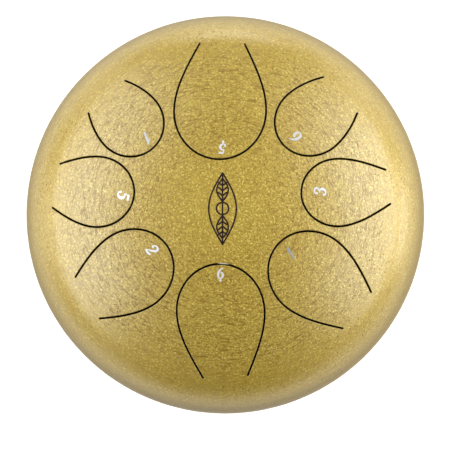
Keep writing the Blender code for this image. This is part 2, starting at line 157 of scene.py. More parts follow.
FOOT_NUMBERS = (1, 2, 3, 4)
SEGMENTS = 64  # round a foot, washer or screw
FILLET_STEPS = 4
SHARP_ANGLE = math.radians(35)
SCREW_HOLE_RADIUS = 2.3 * MM
FOOT_RECESS_RADIUS = 5.0 * MM  # for the cup washer and the screw's head
FOOT_RECESS_HEIGHT = 6.0 * MM
TREAD_INSET = 2.0 * MM  # the tread is this much smaller in radius than the foot's top
TREAD_GROOVE = 6.2 * MM  # radius of the first groove in the tread
TREAD_PITCH = 1.3 * MM
TREAD_DEPTH = 0.5 * MM
HEAD_HEIGHT = 2.4 * MM
HEAD_DOME = 1.0 * MM
FACE_STEPS = 24  # from the middle of the head's face to its edge
SHANK_RADIUS = 2.0 * MM
SCREW_TIP = 0.4 * MM
CROSS_HALF_WIDTH = 0.62 * MM  # of the cross recess's arms, at the head's face
CROSS_REACH = 2.2 * MM
CROSS_DEPTH = 1.5 * MM
THREAD_PITCH = 0.7 * MM
THREAD_DEPTH = 0.35 * MM
THREAD_ROWS = 180
NUT_BORE_RADIUS = 2.05 * MM
NUT_COLLAR = 1.3 * MM  # height of the round collar over the hexagon
NUT_CHAMFER = 0.55 * MM
NYLON_SINK = 0.25 * MM  # the nylon ring lies this far below the collar's lip
NUT_SEGMENTS = 96

# A tongue's slot, in mm: half width, length, half width at the root, and its numeral's place.
Tongue = namedtuple("Tongue", "half_width length root_half_width numeral_along numeral_aside")
TONGUES = {
    "low_5": Tongue(28.6, 74.4, 14.2, 7.4, -1.9),
    "low_6": Tongue(27.2, 69.5, 14.0, 6.5, 1.7),
    "1": Tongue(25.8, 63.4, 14.4, 9.3, 2.3),
    "2": Tongue(25.1, 59.4, 15.1, 9.2, -4.5),
    "3": Tongue(21.0, 54.4, 10.8, 11.7, 1.9),
    "5": Tongue(22.0, 50.4, 14.0, 6.6, 0.2),
    "6": Tongue(21.9, 48.1, 15.6, 8.9, -1.2),
    "high_1": Tongue(21.1, 44.9, 15.4, 7.4, -1.4),
}

# Numerals as pen strokes: each point is (across, up, pen width) in hundredths of the height.
PEN_STROKES = {
    "1": [[(13, 6, 15), (30, 50, 15), (46, 92, 15)], [(48, 97, 5), (36, 80, 13), (20, 71, 10)]],
    "2": [[(16, 66, 17), (13, 79, 11), (28, 93, 8), (46, 93, 14), (58, 80, 17), (55, 62, 17),
           (38, 42, 12), (18, 22, 8), (3, 5, 7)],
          [(2, 4, 5), (16, 5, 13), (38, 7, 16), (56, 13, 11)]],
    "3": [[(28, 77, 15), (33, 90, 10), (52, 95, 10), (68, 86, 14), (71, 72, 15), (60, 59, 12),
           (36, 52, 8)],
          [(46, 54, 6), (54, 46, 12), (58, 30, 19), (48, 12, 17), (30, 5, 10), (12, 11, 12),
           (9, 24, 15)]],
    "5": [[(26, 92, 13), (42, 91, 16), (57, 90, 15), (69, 95, 6)],
          [(29, 92, 7), (24, 76, 7), (19, 59, 8)],
          [(18, 61, 7), (34, 60, 11), (50, 51, 18), (55, 36, 21), (50, 18, 18), (38, 6, 13),
           (24, 3, 9), (11, 10, 11), (8, 24, 15)]],
    "6": [[(60, 100, 4), (40, 88, 12), (22, 70, 19), (12, 46, 22), (10, 26, 18), (17, 9, 13),
           (31, 3, 10), (45, 10, 14), (55, 25, 19), (55, 43, 19), (47, 55, 14), (36, 56, 5)]],
}
OCTAVE_DOT = [(32, 4, 7), (30, -6, 8), (29, -15, 21), (28, -22, 17)]
# Painted shade: the nickel foils are darkened numeral by numeral, after how much light each one's
# place on the dome catches.
FOIL_PAINTED_SHADES = {"1": 0.45, "3": 0.80, "6": 0.72, "high_1": 0.60}  # the others' is 1


# ---- material helpers ----
def add_node(tree, kind, inputs=None, **settings):
    """A shader node with its settings made and its inputs filled or linked."""
    made = tree.nodes.new(kind)
    for name, value in settings.items():
        setattr(made, name, value)
    for name, value in (inputs or {}).items():
        if isinstance(value, bpy.types.NodeSocket):
            tree.links.new(value, made.inputs[name])
        else:
            made.inputs[name].default_value = value
    return made


def new_material(name):
    """A material, its node tree, its Principled BSDF, and its object coordinates in mm."""
    material = bpy.data.materials.new(name)
    material.use_nodes = True
    tree = material.node_tree
    shader = tree.nodes["Principled BSDF"]
    place = add_node(tree, "ShaderNodeTexCoord").outputs["Object"]
    return material, tree, shader, vector_math(tree, "SCALE", place, scale=1 / MM)


def vector_math(tree, operation, first, second=(0, 0, 0), scale=1.0):
    made = add_node(tree, "ShaderNodeVectorMath", {0: first, 1: second, 3: scale},
                    operation=operation)
    return made.outputs[0]


def noise(tree, place, scale, detail=3.0, roughness=0.5):
    made = add_node(tree, "ShaderNodeTexNoise", {
        "Vector": place, "Scale": scale, "Detail": detail, "Roughness": roughness})
    return made.outputs["Fac"]


def remap(tree, value, low, high, to_low=0.0, to_high=1.0, smooth=False):
    made = add_node(tree, "ShaderNodeMapRange", {
        "Value": value, "From Min": low, "From Max": high, "To Min": to_low, "To Max": to_high})
    if smooth:
        made.interpolation_type = "SMOOTHSTEP"
    return made.outputs["Result"]


def calculate(tree, operation, first, second=0.0, third=0.0):
    made = add_node(tree, "ShaderNodeMath", {0: first, 1: second, 2: third}, operation=operation)
    return made.outputs[0]


def ramp(tree, value, stops):
    """A colour ramp through (place, (r, g, b)) stops."""
    made = add_node(tree, "ShaderNodeValToRGB", {"Fac": value})
    elements = made.color_ramp.elements
    while len(elements) < len(stops):
        elements.new(0.5)
    for element, (place, colour) in zip(elements, stops):
        element.position = place
        element.color = (*colour, 1.0)
    return made.outputs["Color"]


def product(tree, first, *others):
    for other in others:
        first = calculate(tree, "MULTIPLY", first, other)
    return first


def tint(tree, colour, mask, strength, tint_colour):
    """A colour with another mixed in where the mask is."""
    made = add_node(tree, "ShaderNodeMix", {
        0: product(tree, mask, strength), 6: colour, 7: (*tint_colour, 1.0)}, data_type="RGBA")
    return made.outputs[2]


def warp(tree, place, scale, reach):
    """Coordinates pushed about by noise, by up to half of reach."""
    colour = add_node(tree, "ShaderNodeTexNoise", {
        "Vector": place, "Scale": scale, "Detail": 2.0}).outputs["Color"]
    centred = vector_math(tree, "SUBTRACT", colour, (0.5, 0.5, 0.5))
    return vector_math(tree, "ADD", place, vector_math(tree, "SCALE", centred, scale=reach))


def cell_edges(tree, place, size):
    """Distance to the nearest border of a network of cells, as a share of the cell size."""
    made = add_node(tree, "ShaderNodeTexVoronoi", {"Vector": place, "Scale": 1 / size},
                    feature="DISTANCE_TO_EDGE")
    return made.outputs["Distance"]


def cell_points(tree, place, size):
    """Distance to the nearest cell middle, as a share of the size, and the cell's random colour."""
    made = add_node(tree, "ShaderNodeTexVoronoi", {"Vector": place, "Scale": 1 / size})
    return made.outputs["Distance"], made.outputs["Color"]


def dress(tree, shader, colour, grain, smoothest, roughest, metallic=0.0):
    """Link the colour and a roughness that follows the grain, and set how metallic it is."""
    tree.links.new(colour, shader.inputs["Base Color"])
    tree.links.new(remap(tree, grain, 0.3, 0.7, smoothest, roughest), shader.inputs["Roughness"])
    shader.inputs["Metallic"].default_value = metallic


def add_bump(tree, shader, height, reach):
    made = add_node(tree, "ShaderNodeBump", {"Height": height, "Distance": reach, "Strength": 1.0})
    tree.links.new(made.outputs["Normal"], shader.inputs["Normal"])


def put_in_scene(name, data):
    thing = bpy.data.objects.new(name, data)
    bpy.context.scene.collection.objects.link(thing)
    return thing


# ---- materials ----
def round_the_axis(tree, place):
    """Coordinates that draw noise out into streaks round the axis, the radius, and how far from
    the seam's height a point is."""
    parts = add_node(tree, "ShaderNodeSeparateXYZ", {0: place}).outputs
    flat = add_node(tree, "ShaderNodeCombineXYZ", {0: parts[0], 1: parts[1]}).outputs[0]
    radius = add_node(tree, "ShaderNodeVectorMath", {0: flat}, operation="LENGTH").outputs["Value"]
    drawn = vector_math(tree, "SCALE", vector_math(tree, "NORMALIZE", flat), scale=STREAK_SPREAD)
    from_seam = calculate(tree, "ABSOLUTE", calculate(tree, "SUBTRACT", parts[2], SEAM_Z / MM))
    run = calculate(tree, "SUBTRACT", radius, from_seam)
    outward = add_node(tree, "ShaderNodeCombineXYZ", {2: run}).outputs[0]
    return vector_math(tree, "ADD", drawn, outward), radius, from_seam


def make_crackle_paint():
    """Gold paint that has wrinkled as it dried: grains, creases round the axis, pits, cracks. Its
    creases, pits and the band round the rim are darkened as painted shade.

    Radii and cell sizes are in mm, and a noise's scale is per mm.
    """
    material, tree, shader, place = new_material("gold_crackle_paint")
    bent = warp(tree, place, 0.25, 2.0)
    around, radius, from_seam = round_the_axis(tree, warp(tree, place, 0.5, 1.0))
    side = remap(tree, radius, 5.0, 50.0, smooth=True)
    shoulder = remap(tree, radius, 70.0, 105.0, smooth=True)
    calm = remap(tree, radius, 84.0, 112.0, 1.0, 0.5, smooth=True)

    lumps = noise(tree, bent, 0.90, 2.0, 0.55)
    grain = noise(tree, place, 1.9, 2.0)

    streaks = noise(tree, around, 0.40, 1.5, 0.5)
    from_middle = calculate(tree, "ABSOLUTE", calculate(tree, "SUBTRACT", streaks, 0.5))
    creases = remap(tree, from_middle, 0.0, 0.045, 1.0, 0.0, smooth=True)
    creases = product(tree, creases, side, lumps, calm)

    spot, _ = cell_points(tree, warp(tree, place, 0.4, 1.0), 2.3)
    pits = remap(tree, spot, 0.12, 0.28, 1.0, 0.0, smooth=True)
    pit_spread = remap(tree, noise(tree, place, 0.03, 2.0), 0.46, 0.62, smooth=True)
    pits = product(tree, pits, pit_spread, side)

    bright_spot, _ = cell_points(tree, warp(tree, place, 0.5, 1.2), 1.8)
    specks = remap(tree, bright_spot, 0.16, 0.44, 1.0, 0.0, smooth=True)
    specks = product(tree, specks, remap(tree, lumps, 0.38, 0.58),
                     remap(tree, side, 0.0, 1.0, 1.0, 0.7))

    crack_line = remap(tree, cell_edges(tree, warp(tree, place, 0.30, 2.6), 5.2), 0.0, 0.035,
                       1.0, 0.0, smooth=True)
    crack_spread = remap(tree, noise(tree, place, 0.03, 2.0), 0.58, 0.42)
    cracks = product(tree, crack_line, crack_spread, shoulder)

    masks = {"specks": specks, "creases": creases, "pits": pits, "cracks": cracks}
    height = calculate(tree, "MULTIPLY_ADD", grain, GRAIN_RISE, product(tree, lumps, LUMP_RISE))
    for name, mark in PAINT_MARKS.items():
        height = calculate(tree, "MULTIPLY_ADD", masks[name], mark.rise, height)
    height = product(tree, calculate(tree, "SUBTRACT", height, MEAN_RISE), calm)

    # Darker where the relief is low, paler where it is high: partly the paint's own tone, partly
    # painted shade and light of the relief.
    colour = ramp(tree, remap(tree, height, -0.33, 0.41), PAINT_GOLDS)
    # The creases' and pits' tints darken the low places of the relief as painted shade.
    for name, mark in PAINT_MARKS.items():
        colour = tint(tree, colour, masks[name], mark.strength, mark.tint)
    # Painted shade: towards the rim the gold is darkened and given less metal and less coat, where
    # the drum turns away from the lights.
    painted_rim_shade = remap(tree, from_seam, 10.0, 32.0, 1.0, 0.0, smooth=True)
    colour = tint(tree, colour, painted_rim_shade, RIM_PAINTED_SHADE_STRENGTH, RIM_PAINTED_SHADE)

    dress(tree, shader, colour, grain, 0.40, 0.52)
    # Painted shade on the coat: less coat reflection in the pits and creases.
    shaded_hollows = calculate(tree, "MAXIMUM", pits, creases)
    coat = product(tree, remap(tree, painted_rim_shade, 0.0, 1.0, 1.0, 0.04),
                   remap(tree, shaded_hollows, 0.0, 1.0, 1.0, 0.2))
    tree.links.new(coat, shader.inputs["Coat Weight"])
    tree.links.new(remap(tree, painted_rim_shade, 0.0, 1.0, 0.38, 0.05), shader.inputs["Metallic"])
    shader.inputs["Specular IOR Level"].default_value = 0.2
    shader.inputs["Coat Roughness"].default_value = 0.36
    shader.inputs["Coat IOR"].default_value = 1.9
    add_bump(tree, shader, height, PAINT_RELIEF)
    return material


def make_bare_steel():
    """Oxidised steel inside the drum and on the cut faces, darkened nearly to black as painted
    shade so the slots read dark.
    """
    material, tree, shader, place = new_material("oxidised_steel_and_shade")
    blotches = noise(tree, place, 0.12, 5.0, 0.6)
    colour = ramp(tree, blotches, ((0.3, (0.012, 0.010, 0.008)), (0.7, (0.035, 0.028, 0.022))))
    dress(tree, shader, colour, blotches, 0.5, 0.75, 0.4)
    add_bump(tree, shader, noise(tree, place, 2.0, 4.0), 0.05 * MM)
    return material


def make_nickel_foil(note):
    """A nickel transfer with a faint brushed grain and handling marks, darkened as painted shade by
    its numeral's share. A shade of 1 is bright.
    """
    material, tree, shader, place = new_material(f"nickel_foil_{note}")
    shade = FOIL_PAINTED_SHADES.get(note, 1.0)
    dull, bright = ([share * shade for share in colour]
                    for colour in ((0.83, 0.83, 0.92), (0.93, 0.93, 0.98)))
    grain = noise(tree, place, 3.0, 4.0, 0.6)
    cloud = noise(tree, place, 0.4, 2.0)
    dress(tree, shader, ramp(tree, cloud, ((0.3, dull), (0.7, bright))), grain, 0.30, 0.45, 0.35)
    add_bump(tree, shader, calculate(tree, "ADD", grain, cloud), 0.05 * MM)
    return material


def make_black_foil():
    """Black transfer with a wine-coloured sheen where the paint's grain shows through."""
    material, tree, shader, place = new_material("black_foil")
    grain = noise(tree, place, 1.7, 4.0, 0.6)
    colour = ramp(tree, grain, ((0.35, (0.006, 0.004, 0.005)), (0.7, (0.035, 0.014, 0.020))))
    dress(tree, shader, colour, grain, 0.22, 0.42)
    add_bump(tree, shader, grain, 0.05 * MM)
    return material


def make_rubber():
    """Moulded black rubber with dust in its grain."""
    material, tree, shader, place = new_material("black_rubber")
    grain = noise(tree, place, 2.6, 5.0, 0.6)
    dust = noise(tree, place, 0.25, 3.0)
    colour = ramp(tree, dust, ((0.35, (0.012, 0.012, 0.013)), (0.75, (0.045, 0.043, 0.040))))
    dress(tree, shader, colour, grain, 0.62, 0.82)
    add_bump(tree, shader, grain, 0.06 * MM)
    return material


def make_zinc():
    """Bright zinc plate with spangle-like clouding."""
    material, tree, shader, place = new_material("zinc_plate")
    _, patches = cell_points(tree, warp(tree, place, 0.6, 0.8), 1.4)
    shade = add_node(tree, "ShaderNodeSeparateColor", {"Color": patches}).outputs[0]
    grain = noise(tree, place, 3.5, 3.0)
    colour = ramp(tree, shade, ((0.0, (0.50, 0.51, 0.54)), (1.0, (0.68, 0.69, 0.70))))
    dress(tree, shader, colour, grain, 0.24, 0.40, 1.0)
    add_bump(tree, shader, grain, 0.02 * MM)
    return material


def make_nylon():
    """Translucent-looking white nylon of the lock nuts' rings."""
    material, tree, shader, place = new_material("white_nylon")
    cloud = noise(tree, place, 0.8, 3.0)
    colour = ramp(tree, cloud, ((0.3, (0.55, 0.58, 0.60)), (0.7, (0.72, 0.74, 0.74))))
    dress(tree, shader, colour, cloud, 0.35, 0.5)
    add_bump(tree, shader, noise(tree, place, 3.0), 0.02 * MM)
    return material


def make_floor_material():
    """A plain pale studio floor."""
    material, tree, shader, place = new_material("studio_floor")
    cloud = noise(tree, place, 0.004, 2.0)
    colour = ramp(tree, cloud, ((0.3, (0.86, 0.86, 0.86)), (0.7, (0.88, 0.88, 0.88))))
    tree.links.new(colour, shader.inputs["Base Color"])
    shader.inputs["Roughness"].default_value = 0.9
    shader.inputs["Emission Color"].default_value = (1.0, 1.0, 1.0, 1.0)
    shader.inputs["Emission Strength"].default_value = 0.48
    return material


# ---- turned sheets laid out flat ----
# A sheet's outline is a chain of parts. Each part is its length and a function from the run
# along it to (radius, height, outward normal's two parts).
Sheet = namedtuple("Sheet", "start parts")


def arc_part(centre_radius, centre_height, radius, start, end):
    length = radius * abs(end - start)

    def at(run):
        angle = start + (end - start) * run / length
        across, up = math.cos(angle), math.sin(angle)
        return centre_radius + radius * across, centre_height + radius * up, across, up
    return length, at


def straight_part(start, end):
    run_line = Vector(end) - Vector(start)
    length = run_line.length
    way = run_line / length

    def at(run):
        return start[0] + way.x * run, start[1] + way.y * run, way.y, -way.x
    return length, at


def place_on(sheet, x, y, depth=0.0):
    """The point of a sheet at a flat point, moved in by depth, and the outward normal there."""
    reach = math.hypot(x, y)
    rest = reach - sheet.start
    for length, at in sheet.parts:
        if rest <= length:
            break
        rest -= length
    radius, height, across, up = at(min(rest, length))
    way_x, way_y = (x / reach, y / reach) if reach > 0 else (1.0, 0.0)
    normal = Vector((across * way_x, across * way_y, up))
    return Vector((radius * way_x, radius * way_y, height)) - normal * depth, normal


def dome_sheet():
    crown_end = math.pi / 2 - CROWN_SWEEP
    crown = arc_part(0, DOME_Z - CROWN_DROP, CROWN_RADIUS, math.pi / 2, crown_end)
    return Sheet(0.0, [crown, arc_part(SHOULDER_CENTRE, DOME_Z, SHOULDER_RADIUS, crown_end, 0)])


def pan_sheet():
    """The bottom shell from the sound hole's turned-in lip, over base and wall, to the rim."""
    sin_sweep, cos_sweep = math.sin(PAN_WALL_SWEEP), math.cos(PAN_WALL_SWEEP)
    wall_foot = (SHOULDER_CENTRE + SHOULDER_RADIUS * cos_sweep,
                 PAN_RIM_Z - SHOULDER_RADIUS * sin_sweep)
    corner_z = FOOT_HEIGHT + PAN_CORNER_RADIUS
    corner_top_z = corner_z - PAN_CORNER_RADIUS * sin_sweep
    slant = (wall_foot[1] - corner_top_z) / cos_sweep
    corner_top = (wall_foot[0] - slant * sin_sweep, corner_top_z)
    corner_radius = corner_top[0] - PAN_CORNER_RADIUS * cos_sweep
    lip_radius = SOUND_HOLE_RADIUS + SOUND_HOLE_LIP
    lip_z = FOOT_HEIGHT + SOUND_HOLE_LIP
    parts = [
        arc_part(lip_radius, lip_z, SOUND_HOLE_LIP, -math.pi, -math.pi / 2),
        straight_part((lip_radius, FOOT_HEIGHT), (corner_radius, FOOT_HEIGHT)),
        arc_part(corner_radius, corner_z, PAN_CORNER_RADIUS, -math.pi / 2, -PAN_WALL_SWEEP),
        straight_part(corner_top, wall_foot),
        arc_part(SHOULDER_CENTRE, PAN_RIM_Z, SHOULDER_RADIUS, -PAN_WALL_SWEEP, 0),
    ]
    return Sheet(SOUND_HOLE_RADIUS, parts)


def flat_end(sheet):
    return sheet.start + sum(length for length, _ in sheet.parts)


def flatten_on_crown(x, y):
    """A plan point of the crown, laid out flat."""
    radius = math.hypot(x, y)
    if radius == 0:
        return x, y
    stretch = CROWN_RADIUS * math.asin(radius / CROWN_RADIUS) / radius
    return x * stretch, y * stretch


# A cut edge is a closed loop of flat points, each with the way across the gap beside it,
# or None where the sheet goes on into another piece.
Edge = namedtuple("Edge", "points gaps")


def circle_edge(radius, count, gap, centre=(0.0, 0.0)):
    """A round edge. gap is -1 for a hole and 1 for an outer edge."""
    points, gaps = [], []
    for i in range(count):
        angle = 2 * math.pi * i / count
        way = Vector((math.cos(angle), math.sin(angle)))
        points.append((centre[0] + radius * way.x, centre[1] + radius * way.y))
        gaps.append(way * gap)
    return Edge(points, gaps)


def ring_points(sheet, spacings):
    """Evenly spread flat points on rings, each ring turned a little against the last.

    Each part of the sheet has its own spacing of rings, and a ring where the next part begins.
    """
    radii, run = [], sheet.start
    for (length, _), spacing in zip(sheet.parts, spacings):
        count = max(1, round(length / spacing))
        radii += [run + length * i / count for i in range(1, count + 1)]
        run += length
    points = []
    for index, radius in enumerate(radii[:-1]):
        count = max(6, round(2 * math.pi * radius / GRID))
        for i in range(count):
            angle = 2 * math.pi * (i + 0.5 * (index % 2)) / count
            points.append((radius * math.cos(angle), radius * math.sin(angle)))
    return points


def wound_left(corners):
    """True if a flat polygon's corners run counter-clockwise."""
    return sum(a.x * b.y - b.x * a.y for a, b in zip(corners, corners[1:] + corners[:1])) > 0


def triangulate(edges, inner_points):
    """Delaunay triangles inside the first edge and outside the others, in flat coordinates.

    Returns the points, the edges' own first and in order, the triangles, and each edge's loop.
    """
    rims = [tuple(Vector(p) - gap * EDGE if gap else Vector(p) for p, gap in zip(e.points, e.gaps))
            for e in edges]
    corners = [p for rim in rims for p in rim]
    near = KDTree(len(corners))
    for index, p in enumerate(corners):
        near.insert((p.x, p.y, 0), index)
    near.balance()
    clear = [Vector(p) for p in inner_points if near.find((*p, 0))[2] > CLEARANCE]
    points = corners + clear
    loops, first = [], 0
    for rim in rims:
        loops.append(list(range(first, first + len(rim))))
        first += len(rim)
    wound = [loop if wound_left([points[i] for i in loop]) else loop[::-1] for loop in loops]
    made = delaunay_2d_cdt([p / MM for p in points], [], wound, 0, 1e-6, True)
    back = {new: old[0] for new, old in enumerate(made[3]) if old}
    triangles = []
    for face, owners in zip(made[2], made[5]):
        if list(owners) == [0]:
            triangles.append(tuple(back[i] for i in face))
    return points, triangles, loops


def build_sheet(name, sheet, edges, spacings, skin, bare):
    """A closed piece of sheet metal: skin outside and over its rounded cut edges, bare within."""
    points, triangles, loops = triangulate(edges, ring_points(sheet, spacings))
    vertices = []

    def add_vertex(position, skin_normal, side_normal):
        vertices.append((position, skin_normal, side_normal))
        return len(vertices) - 1

    for x, y in points:
        position, normal = place_on(sheet, x, y)
        add_vertex(position, normal, normal)
    under = {}
    walls = []
    for edge, loop in zip(edges, loops):
        rows = [loop]
        for step in range(1, EDGE_STEPS + 2):
            turn = math.pi / 2 * min(step / EDGE_STEPS, 1.0)
            depth = EDGE * (1 - math.cos(turn)) if step <= EDGE_STEPS else SHEET
            row = []
            for (x, y), gap in zip(edge.points, edge.gaps):
                if gap:
                    back = EDGE * (1 - math.sin(turn))
                    x, y = x - gap.x * back, y - gap.y * back
                position, normal = place_on(sheet, x, y, depth)
                side = Vector((0, 0, 0))
                if gap:
                    behind, _ = place_on(sheet, x - gap.x * EDGE, y - gap.y * EDGE, depth)
                    side = (position - behind).normalized()
                    side = side * math.sin(turn) + normal * math.cos(turn)
                row.append(add_vertex(position, -normal, side))
            rows.append(row)
        walls.append(rows)
        under.update(zip(loop, rows[-1]))
    for index in range(loops[-1][-1] + 1, len(points)):
        position, normal = place_on(sheet, *points[index], SHEET)
        under[index] = add_vertex(position, -normal, -normal)

    faces = [(corners, "skin") for corners in triangles]
    for rows in walls:
        for step, (upper, lower) in enumerate(zip(rows, rows[1:])):
            kind = "edge" if step < EDGE_STEPS else "wall"
            for i in range(len(upper)):
                faces.append(((upper[i - 1], lower[i - 1], lower[i], upper[i]), kind))
    faces += [((under[c], under[b], under[a]), "under") for a, b, c in triangles]
    return add_sheet_mesh(name, vertices, faces, skin, bare)


def add_sheet_mesh(name, vertices, faces, skin, bare):
    """A mesh of (position, skin normal, side normal) vertices and (corners, kind) faces."""
    mesh = bpy.data.meshes.new(name)
    mesh.from_pydata([vertex[0] for vertex in vertices], [], [face[0] for face in faces])
    mesh.materials.append(skin)
    mesh.materials.append(bare)
    bm = bmesh.new()
    bm.from_mesh(mesh)
    bmesh.ops.recalc_face_normals(bm, faces=bm.faces)
    bm.to_mesh(mesh)
    bm.free()
    normals = []
    for polygon, (_, kind) in zip(mesh.polygons, faces):
        polygon.use_smooth = True
        polygon.material_index = 0 if kind in ("skin", "edge") else 1
        which = 1 if kind in ("skin", "under") else 2
        for loop in polygon.loop_indices:
            normals.append(vertices[mesh.loops[loop].vertex_index][which])
    mesh.normals_split_custom_set(normals)
    return put_in_scene(name, mesh)


# ---- slots and tongues ----
def joint_of(note):
    for joint in frame["joints"]:
        if joint["name"] == f"tongue_{note}_flex":
            return joint
    raise ValueError(f"no joint for tongue {note}")


def tongue_axes(note):
    """A tongue's tip in plan, the way from tip to root, and the way to its left of that."""
    joint = joint_of(note)
    aside = -Vector(joint["axis"][:2]).normalized()
    along = Vector((aside.y, -aside.x))
    root = Vector(joint["pos_m"][:2])
    return root - along * TONGUES[note].length * MM, along, aside


def slot_line(note):
    """The slot's centre line in plan, root to tip to root, each point with its outward normal.

    The head is half an ellipse. Each flank is a cubic that leaves it level and arrives at the
    root half width with ROOT_SLOPE.
    """
    tongue = TONGUES[note]
    half = tongue.half_width * MM
    head = HEAD_RATIO * half
    flank = tongue.length * MM - head
    narrowing = tongue.root_half_width * MM - half
    end_slope = ROOT_SLOPE * flank
    side = []
    for i in range(HEAD_STEPS + 1):
        angle = math.pi / 2 * i / HEAD_STEPS
        out = Vector((-half * math.cos(angle), head * math.sin(angle))).normalized()
        side.append((head * (1 - math.cos(angle)), half * math.sin(angle), out.x, out.y))
    for i in range(1, FLANK_STEPS + 1):
        u = i / FLANK_STEPS
        away = half + (3 * narrowing - end_slope) * u ** 2 + (end_slope - 2 * narrowing) * u ** 3
        slope = 2 * (3 * narrowing - end_slope) * u + 3 * (end_slope - 2 * narrowing) * u ** 2
        out = Vector((-slope / flank, 1)).normalized()
        side.append((head + flank * u, away, out.x, out.y))
    mirrored = [(x, -y, out_x, -out_y) for x, y, out_x, out_y in side[:0:-1]]
    tip, along, aside = tongue_axes(note)
    return [(tip + along * x + aside * y, along * out_x + aside * out_y)
            for x, y, out_x, out_y in mirrored + side]


def chord(start, end):
    """Points between the two inner ends of a slot, along a tongue's root."""
    return [start.lerp(end, i / CHORD_POINTS) for i in range(1, CHORD_POINTS)]


def flat_edge(points, gaps):
    return Edge([flatten_on_crown(p.x, p.y) for p in points], gaps)


def tongue_edge(note):
    """The tongue's own edge: inside the slot, then straight across at the root."""
    line = slot_line(note)
    points = [p - out * SLOT_WIDTH / 2 for p, out in line]
    gaps = [out for _, out in line]
    root = chord(points[-1], points[0])
    return flat_edge(points + root, gaps + [None] * len(root))


def window_edge(note):
    """The shell's edge round a tongue: outside the slot, round its two ends, along the root."""
    line = slot_line(note)
    points = [p + out * SLOT_WIDTH / 2 for p, out in line]
    gaps = [-out for _, out in line]
    (first, first_out), (last, last_out) = line[0], line[-1]
    first_way = Vector((-first_out.y, first_out.x))
    last_way = Vector((last_out.y, -last_out.x))
    for i in range(1, SLOT_END_POINTS + 1):
        angle = math.pi * i / SLOT_END_POINTS
        way = first_out * math.cos(angle) + first_way * math.sin(angle)
        points.insert(0, first + way * SLOT_WIDTH / 2)
        gaps.insert(0, -way)
        way = last_out * math.cos(angle) + last_way * math.sin(angle)
        points.append(last + way * SLOT_WIDTH / 2)
        gaps.append(-way)
    root = chord(points[-1], points[0])
    return flat_edge(points + root, gaps + [None] * len(root))


def make_top(paint, steel):
    sheet = dome_sheet()
    rim = circle_edge(flat_end(sheet), RIM_POINTS, 1)
    edges = [rim] + [window_edge(note) for note in TONGUES]
    shell = build_sheet("painted_top", sheet, edges, DOME_SPACINGS, paint, steel)
    finish_piece(shell, "drum_body", "top_shell")


def make_tongue(note, paint, steel):
    blade = build_sheet(f"painted_tongue_{note}", dome_sheet(), [tongue_edge(note)],
                        DOME_SPACINGS, paint, steel)
    joint = joint_of(note)
    _, along, _ = tongue_axes(note)
    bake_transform(blade)
    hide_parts(f"tongue_{note}")


def make_pan(paint, steel):
    sheet = pan_sheet()
    edges = [circle_edge(flat_end(sheet), RIM_POINTS, 1),
             circle_edge(SOUND_HOLE_RADIUS, SOUND_HOLE_POINTS, -1)]
    unroll = sheet.parts[0][0] - SOUND_HOLE_LIP
    for number in FOOT_NUMBERS:
        place = foot_place(number)
        middle = place * (1 + unroll / place.length)
        edges.append(circle_edge(SCREW_HOLE_RADIUS, HOLE_POINTS, -1, middle[:2]))
    pan = build_sheet("painted_pan", sheet, edges, PAN_SPACINGS, paint, steel)
    finish_piece(pan, "drum_body", "bottom_shell")


# ---- foil numerals and badge ----
def smooth_stroke(points):
    """A Catmull-Rom curve through (x, y, width) points."""
    padded = [points[0]] + list(points) + [points[-1]]
    curve = []
    for p0, p1, p2, p3 in zip(padded, padded[1:], padded[2:], padded[3:]):
        for i in range(STROKE_STEPS):
            t = i / STROKE_STEPS
            curve.append(tuple(0.5 * (2 * b + (c - a) * t + (2 * a - 5 * b + 4 * c - d) * t ** 2
                                      + (3 * b - a - 3 * c + d) * t ** 3)
                               for a, b, c, d in zip(p0, p1, p2, p3)))
    curve.append(tuple(points[-1]))
    return curve


def stroke_patches(stroke):
    """Small convex patches that cover a stroke, with a round cap at each end."""
    rows = []
    for i, (x, y, width) in enumerate(stroke):
        before = stroke[max(i - 1, 0)]
        after = stroke[min(i + 1, len(stroke) - 1)]
        run = Vector((after[0] - before[0], after[1] - before[1])).normalized()
        rows.append((Vector((x, y)), run, Vector((-run.y, run.x)) * width / 2))
    patches = []
    for (middle, _, side), (next_middle, _, next_side) in zip(rows, rows[1:]):
        patches.append([middle - side, next_middle - next_side,
                        next_middle + next_side, middle + side])
    for (middle, run, side), way in ((rows[0], -1), (rows[-1], 1)):
        cap = []
        for i in range(CAP_STEPS + 1):
            angle = math.pi * (i / CAP_STEPS - 0.5)
            cap.append(middle + side * math.sin(angle) + run * way * side.length * math.cos(angle))
        patches.append(cap)
    return patches


def unite(patches):
    """One flat triangle mesh that covers all patches: points in metres, and triangles."""
    corners, loops = [], []
    for patch in patches:
        loops.append(list(range(len(corners), len(corners) + len(patch))))
        corners += [p / MM for p in (patch if wound_left(patch) else patch[::-1])]
    made = delaunay_2d_cdt(corners, [], loops, 0, 1e-4, True)
    triangles = [tuple(face) for face, owners in zip(made[2], made[5]) if owners]
    used = sorted({i for face in triangles for i in face})
    order = {old: new for new, old in enumerate(used)}
    return [made[0][i] * MM for i in used], [tuple(order[i] for i in face) for face in triangles]


